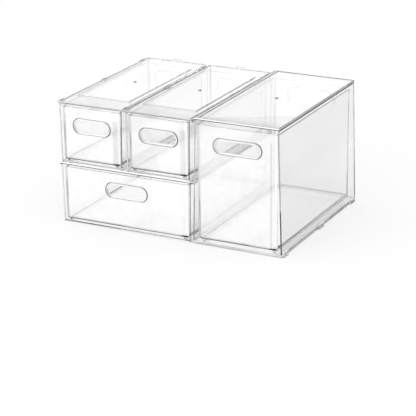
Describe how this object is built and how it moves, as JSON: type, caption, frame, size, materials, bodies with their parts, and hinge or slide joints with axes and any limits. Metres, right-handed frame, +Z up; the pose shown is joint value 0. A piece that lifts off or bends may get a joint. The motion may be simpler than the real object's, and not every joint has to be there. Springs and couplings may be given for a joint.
{
  "type": "stackable drawer box",
  "caption": "Clear plastic drawer modules: small ones stand on a wide low one, a tall one beside them; each is a casing, a snapped-on plate and a tray with a rolled finger slot.",
  "frame": {"origin": "centre of the set's bounding box, on the surface that it stands on", "axes": "+X across the fronts towards the tall module, drawers pull out towards -Y, +Z up"},
  "size_m": [0.3462, 0.2594, 0.1817],
  "materials": {
    "clear_case": "clear, glossy, moulded",
    "clear_plate": "clear, glossy, moulded",
    "clear_tray": "clear, glossy, moulded"
  },
  "bodies": {
    "wide_module": {"wide_case": "clear_case", "wide_plate": "clear_plate"},
    "wide_tray": {"wide_drawer": "clear_tray"},
    "left_module": {"left_case": "clear_case", "left_plate": "clear_plate"},
    "left_tray": {"left_drawer": "clear_tray"},
    "middle_module": {"middle_case": "clear_case", "middle_plate": "clear_plate"},
    "middle_tray": {"middle_drawer": "clear_tray"},
    "tall_module": {"tall_case": "clear_case", "tall_plate": "clear_plate"},
    "tall_tray": {"tall_drawer": "clear_tray"}
  },
  "joints": [
    {"name": "wide_drawer_slide", "type": "slide", "parent": "wide_module", "child": "wide_tray", "axis": [0, -1, 0], "range_m": [0, 0.19]},
    {"name": "left_module_lift", "type": "slide", "parent": "wide_module", "child": "left_module", "axis": [0, 0, 1], "range_m": [0, 0.11]},
    {"name": "left_drawer_slide", "type": "slide", "parent": "left_module", "child": "left_tray", "axis": [0, -1, 0], "range_m": [0, 0.19]},
    {"name": "middle_module_lift", "type": "slide", "parent": "wide_module", "child": "middle_module", "axis": [0, 0, 1], "range_m": [0, 0.11]},
    {"name": "middle_drawer_slide", "type": "slide", "parent": "middle_module", "child": "middle_tray", "axis": [0, -1, 0], "range_m": [0, 0.19]},
    {"name": "tall_module_shift", "type": "slide", "parent": "wide_module", "child": "tall_module", "axis": [1, 0, 0], "range_m": [0, 0.06]},
    {"name": "tall_drawer_slide", "type": "slide", "parent": "tall_module", "child": "tall_tray", "axis": [0, -1, 0], "range_m": [0, 0.19]}
  ]
}
